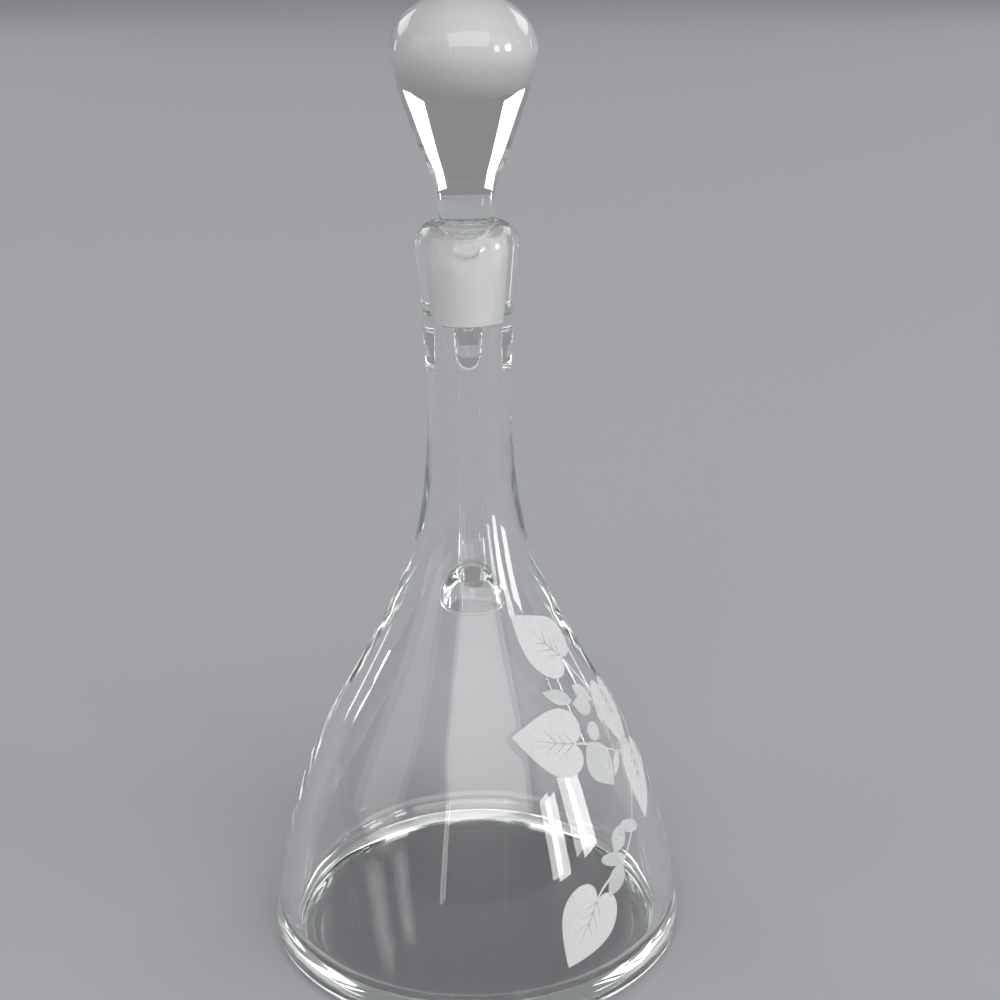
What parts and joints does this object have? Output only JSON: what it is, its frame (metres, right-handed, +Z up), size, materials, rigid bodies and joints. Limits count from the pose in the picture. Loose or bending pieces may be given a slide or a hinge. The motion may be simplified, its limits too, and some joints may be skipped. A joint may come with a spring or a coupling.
{
  "type": "decanter with handle",
  "caption": "Clear glass decanter: bell-shaped body on a heavy base, long neck with pouring lip, applied loop handle and pear-shaped ground stopper.",
  "frame": {"origin": "centre of the flat base, on the surface that the decanter stands on", "axes": "+Z up along the turned body's axis, -Y towards the pouring lip, +Y towards the handle, +X to the right of someone who faces the lip"},
  "size_m": [0.1446, 0.1446, 0.32],
  "materials": {
    "clear_glass": "clear polished soda-lime glass with a faint green tint in thick places, with a frosted vine etched on one side and a ground socket in the mouth",
    "handle_glass": "clear fire-polished glass",
    "stopper_glass": "clear glass knob, plug ground to a fine frost"
  },
  "bodies": {
    "decanter": {"vessel": "clear_glass", "handle": "handle_glass"},
    "stopper": {"stopper": "stopper_glass"}
  },
  "joints": [
    {"name": "stopper_lift", "type": "slide", "parent": "decanter", "child": "stopper", "axis": [0, 0, 1], "range_m": [0, 0.05]}
  ]
}
